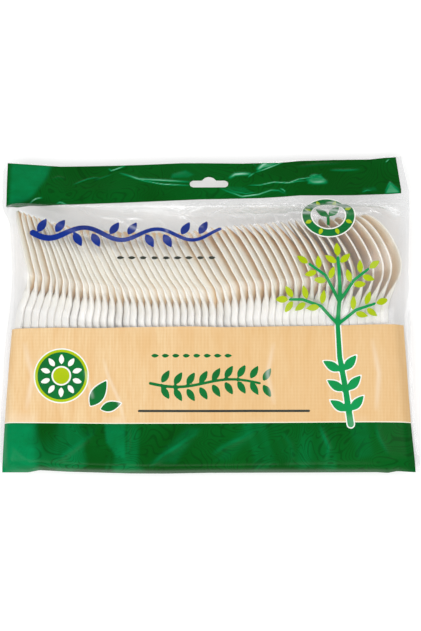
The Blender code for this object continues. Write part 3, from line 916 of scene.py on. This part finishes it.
def twig_leaves(points, shares, length, lean=52):
    """Pairs of leaves that lean away from a twig at shares of its length, and one on its tip."""
    lengths = [math.dist(a, b) for a, b in zip(points, points[1:])]
    ends = np.cumsum([0] + lengths)
    shapes = []
    for share in shares:
        run = share * ends[-1]
        x, y = (np.interp(run, ends, values) for values in zip(*points))
        part = min(int(np.searchsorted(ends, run)), len(lengths)) - 1
        (ax, ay), (bx, by) = points[part], points[part + 1]
        way = math.degrees(math.atan2(by - ay, bx - ax))
        for turn in (way + lean, way - lean):
            shapes.append(leaf_from(x, y, 0.56 * length + 0.8, turn, length, 0.44 * length))
    return shapes + [leaf_from(*points[-1], 0.6 * length, way, length, 0.46 * length)]


def garland_shapes():
    """A curved twig with leaves above and below it."""
    def height(x):
        return -46 + 2.4 * math.sin((x + 4) / 11)

    shapes = [stroke([(x, height(x)) for x in range(-38, 33, 3)], 1.9, 0.8)]
    for step in range(9):
        x = -34 + 8.0 * step
        for turn in (58, -58):
            across, up = 5.2 * math.cos(math.radians(turn)), 6.2 * math.sin(math.radians(turn))
            shapes.append(leaf((x + 2.9 + across, height(x) + up), 9.6, 4.2, turn))
    return shapes


def printed_shapes():
    """Every printed ornament with its ink, the lowest first."""
    side_leaves = [leaf((-70.5, -52.5), 19.0, 8.4, 58), leaf((-62.6, -60.6), 13.5, 5.8, 16)]
    low_leaves = twig_leaves(SPRIG[:3], (0.18, 0.48, 0.78), 12.5, 50)[:-1]
    high_leaves = twig_leaves(SPRIG[3:], (0.9,), 9.0)
    for twig, shares in TWIGS:
        high_leaves += twig_leaves(twig, shares, 8.6)
    dashes = [leaf((-56.6 + 7.2 * step, 31.6), 5.2, 2.0, 0) for step in range(9)]
    beads = [leaf((-35.0 + 6.6 * step, -28.6), 5.0, 2.4, 0) for step in range(8)]
    sprout = [leaf((70.6, 61.6), 9.6, 4.6, 138), leaf((78.4, 62.4), 10.4, 5.0, 48),
              stroke([(74.4, 52.8), (74.4, 58.8)], 1.8)]
    oval_ring = ring(OVAL, 11.2, 16.4, OVAL_SQUASH)
    oval_leaves = round_leaves(OVAL, 13.8, OVAL_SQUASH, 8, 4.6, 2.6)
    return [
        ("edge_white", all_of([stroke(SPRIG[:4], 4.0, 0.7)] + low_leaves + side_leaves, 0.75)),
        ("edge_white", all_of([disc(BADGE, 17.4), ring(OVAL, 10.4, 17.2, OVAL_SQUASH)])),
        ("leaf_green", all_of([stroke(SPRIG, 4.0, 0.5)] + low_leaves
                              + [stroke(twig, 2.1, 0.75) for twig, _ in TWIGS])),
        ("lime", all_of(high_leaves)),
        ("deep_blue", all_of(ribbon_shapes())),
        ("deep_green", all_of(garland_shapes() + beads + side_leaves + sprout + [oval_ring])),
        ("lime", all_of([ring(BADGE, 15.0, 16.6)] + oval_leaves)),
        ("deep_green", ring(BADGE, 6.2, 15.0)),
        ("edge_white", all_of(round_leaves(BADGE, 10.6, 1.0, 10, 6.6, 3.2))),
        ("lime", disc(BADGE, 5.2)),
        ("dark_grey", all_of(dashes + [stroke([(-45, -63.6), (62, -63.6)], 1.5)])),
    ]


# The film's faces: a grid of strips, then cut along the slot and the printed shapes

CLEAR, GREEN, CREAM, KRAFT = range(4)
STRIP_LINES = (FOLD_LINE, BAND_LINE, CREAM_LINE, KRAFT_LINE, HEADER_LINE, HEADER_TOP, TOP_LINE)
STRIP_PRINTS = (GREEN, CREAM, KRAFT, CLEAR, GREEN, CLEAR)
SIDE_EDGES = (LEFT_EDGE, PRINT_LEFT, PRINT_RIGHT, RIGHT_EDGE)
SIDE_PRINTED = (0, 1, 0)
SIDE_PLACES = ((0, -133), (1, -128), (2, 126), (3, 130))    # where the edges lie, roughly
# How many rows of faces the strips have, and how many columns the sides and the middle have
FRONT_COUNTS = (36, 1, 70, 100, 44, 2), (6, 338, 6)
BACK_COUNTS = (20, 1, 30, 42, 24, 2), (5, 150, 5)
# How strong the back film's painted crease highlights are
BACK_CREASES = 0.3


def divided(counts):
    """Places from 0 up, with each whole number's stretch in as many parts as its count says."""
    return np.array([k + step / count for k, count in enumerate(counts) for step in range(count)]
                    + [len(counts)])


def between(values, place):
    """Read a stack of values at a place in it, such as 1.5, halfway from 1 to 2."""
    low = np.minimum(place.astype(int), len(values) - 2)
    part = place - low
    below, above = (np.take_along_axis(values, index[None], 0)[0] for index in (low, low + 1))
    return below * (1 - part) + above * part


def film_grid(row_counts, column_counts):
    """The places of the film's grid, which follows the print's lines and the bag's edges."""
    v = divided(row_counts)
    # Rows lie closer at the fold and below the header, where the film bends most
    v = np.where((v > 3) & (v < 4), 3 + (v - 3) * (1.6 - 0.6 * (v - 3)), v)
    v = np.where(v < 1, v ** 1.4, v)
    grid_u, grid_v = np.meshgrid(divided(column_counts), v)
    x = read(SIDE_PLACES, grid_u)
    for _ in range(3):
        y = between(np.array([read(level, x) for level in STRIP_LINES]), grid_v)
        x = between(np.array([read(edge, y) for edge in SIDE_EDGES]), grid_u)
    return x, y


def split(corners, faces, gap, finish):
    """Cut faces along the line where gap is 0: inside it they take the finish, or go if it is None."""
    gaps = gap(*np.array(corners).T).tolist()
    out, cuts = [], {}

    def cut(a, b):
        a, b = min(a, b), max(a, b)
        if (a, b) not in cuts:
            share = gaps[a] / (gaps[a] - gaps[b])
            (ax, ay), (bx, by) = corners[a], corners[b]
            cuts[a, b] = len(corners)
            corners.append((ax + (bx - ax) * share, ay + (by - ay) * share))
        return cuts[a, b]

    for face, own in faces:
        outside = [gaps[i] > 0 for i in face]
        if all(outside):
            out.append((face, own))
            continue
        kept, inner = [], []
        for i, j, is_out in zip(face, face[1:] + face[:1], outside):
            (kept if is_out else inner).append(i)
            if is_out != (gaps[j] > 0):
                edge = cut(i, j)
                kept.append(edge)
                inner.append(edge)
        if len(kept) > 2:
            out.append((kept, own))
        if len(inner) > 2 and finish is not None:
            out.append((inner, finish))
    return out


def film_faces(counts, prints):
    """The film's corners and its faces, each with the number of its finish."""
    x, y = film_grid(*counts)
    corners = list(zip(x.ravel().tolist(), y.ravel().tolist()))
    index = np.arange(x.size).reshape(x.shape)
    quads = np.stack([index[:-1, :-1], index[:-1, 1:], index[1:, 1:], index[1:, :-1]], axis=-1)
    finishes = np.outer(np.repeat(STRIP_PRINTS, counts[0]), np.repeat(SIDE_PRINTED, counts[1]))
    faces = list(zip(quads.reshape(-1, 4).tolist(), finishes.ravel().tolist()))
    for gap, finish in [(slot_gap, None)] + prints:
        faces = split(corners, faces, gap, finish)
    return corners, faces


def film_sheet(name, film, side, counts, finishes, prints):
    """One side of the bag as a fine sheet, its print in strips of faces and in cut shapes."""
    corners, faces = film_faces(counts, prints)
    x, y = np.array(corners).T
    places = np.column_stack([x, y, film.sheet(x, y, side)]) * MM
    mesh = bpy.data.meshes.new(name)
    mesh.from_pydata(places.tolist(), [], [face if side > 0 else face[::-1] for face, _ in faces])
    for finish in finishes:
        mesh.materials.append(finish)
    mesh.polygons.foreach_set("material_index", [own for _, own in faces])
    # The film's pale marks: painted highlights along its creases, with some whitening of the stressed
    # film, and painted reflections in patches; weaker on the back
    marks = mesh.attributes.new("whitening_and_highlight", "FLOAT", "POINT")
    pale = painted_highlights_and_whitening(x, y) * (1.0 if side > 0 else BACK_CREASES)
    marks.data.foreach_set("value", pale.astype(np.float32))
    bm = bmesh.new()
    bm.from_mesh(mesh)
    bmesh.ops.delete(bm, geom=[vert for vert in bm.verts if not vert.link_faces], context="VERTS")
    bm.to_mesh(mesh)
    bm.free()
    mesh.shade_smooth()
    sheet = put(name, mesh)
    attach(sheet, "root")
    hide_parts("film_bag")


def lay_film(spoons):
    """Put both sides of the bag round the spoons."""
    clear = clear_finish("clear_film", 0.085, (240, 241, 243))
    # The back film is greyer and less clear, as painted shade of the floor seen through both films
    back_film_shaded = clear_finish("back_film_painted_shade", 0.2, (210, 211, 212))
    cream = flat_ink("cream_print", (252, 244, 224), (250, 240, 216))
    printed = [green_finish(), cream, kraft_finish()]
    inks = [flat_ink(name, *tones) for name, tones in INKS.items()]
    prints = [(shape, 1 + len(printed) + list(INKS).index(ink)) for ink, shape in printed_shapes()]
    film = Film(spoons)
    film_sheet("film_front", film, 1, FRONT_COUNTS, [clear] + printed + inks, prints)
    film_sheet("film_back", film, -1, BACK_COUNTS, [back_film_shaded] + printed, [])


# The stage. Sizes are in metres again, and a lamp's power is in watts

LAMPS = (
    ("front_box", (0.0, -1.06, 1.46), (0.8, 1.0), 10.2),
    ("right_box", (1.1, 0.12, 1.42), (0.7, 0.9), 5.5),
    ("left_box", (-0.95, -0.7, 1.15), (0.8, 0.9), 8.0),
    ("back_box", (0.0, 1.4, 0.66), (1.3, 0.24), 4.5),
)
LAMP_TARGET = Vector((0, 0, 10 * MM))
TABLE_SIZE = 30
# The photograph's rows, what one covers at the pack, and how far the camera stands from it
IMAGE_ROWS, ROW, CAMERA_DISTANCE, SENSOR = 631, 0.64 * MM, 1.0, 24.0
CAMERA_TARGET = Vector((0, -1.4 * MM, 12 * MM))


def seen(nodes):
    """1 for what the camera sees, also in a mirror or through glass."""
    kinds = ("Is Camera Ray", "Is Glossy Ray", "Is Transmission Ray")
    camera_ray, glossy, through = (nodes.node("ShaderNodeLightPath", output=kind) for kind in kinds)
    return camera_ray.most(glossy).most(through)


def table_finish():
    """Plain white where nothing shades it, and it keeps the pack's shadow."""
    finish = Finish("white_table", roughness=0.9, specular_ior_level=0.1,
                    base_color=(0.62, 0.62, 0.62, 1), emission_strength=1.0)
    where = finish.node("ShaderNodeTexCoord", output="Object")
    away = finish.node("ShaderNodeVectorMath", {"operation": "LENGTH"}, {0: where}, output=1)
    glow = seen(finish) * (0.5 + 0.5 * away.ease(0.5, 3.5))
    return finish.show(emission_color=finish.layers(srgb(0, 0, 0), (glow, (255, 255, 255))))


def set_table():
    bpy.ops.mesh.primitive_plane_add(size=TABLE_SIZE)
    table = bpy.context.object
    table.name = "table"
    table.data.materials.append(table_finish())
    table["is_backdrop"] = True


def aim(thing, place, target):
    """Put a lamp or the camera at a place, looking at a target."""
    thing.location = place
    thing.rotation_euler = (target - Vector(place)).to_track_quat("-Z", "Y").to_euler()


def set_lights():
    """Four soft boxes, and a pale sky that the camera sees as white."""
    for name, place, size, power in LAMPS:
        data = bpy.data.lights.new(name, "AREA")
        data.shape, data.size, data.size_y, data.energy = "RECTANGLE", *size, power
        aim(put(name, data), place, LAMP_TARGET)
    world = bpy.data.worlds.new("studio")
    bpy.context.scene.world = world
    world.use_nodes = True
    sky = Nodes(world.node_tree)
    background = world.node_tree.nodes["Background"]
    background.inputs["Color"].default_value = (1, 1, 1, 1)
    camera_ray = sky.node("ShaderNodeLightPath", output="Is Camera Ray")
    sky.feed(background.inputs["Strength"], (0.42 + 0.33 * seen(sky)).most(camera_ray))


def set_camera():
    """Look down at the pack from past its lower end, as the photograph does."""
    data = bpy.data.cameras.new("camera")
    data.sensor_fit, data.sensor_height = "VERTICAL", SENSOR
    data.lens = SENSOR * CAMERA_DISTANCE / (IMAGE_ROWS * ROW)
    elevation = math.radians(80)
    away = Vector((0, -math.cos(elevation), math.sin(elevation)))
    view = put("camera", data)
    aim(view, CAMERA_TARGET + CAMERA_DISTANCE * away, CAMERA_TARGET)
    bpy.context.scene.camera = view
    bpy.context.scene.view_settings.view_transform = "Standard"


def build():
    lay_film(lay_spoons(spoon_finish()))
    set_table()
    set_lights()
    set_camera()


build()
[[list(map(float, corner)) for corner in box] for box in (CAD_BOX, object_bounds())]
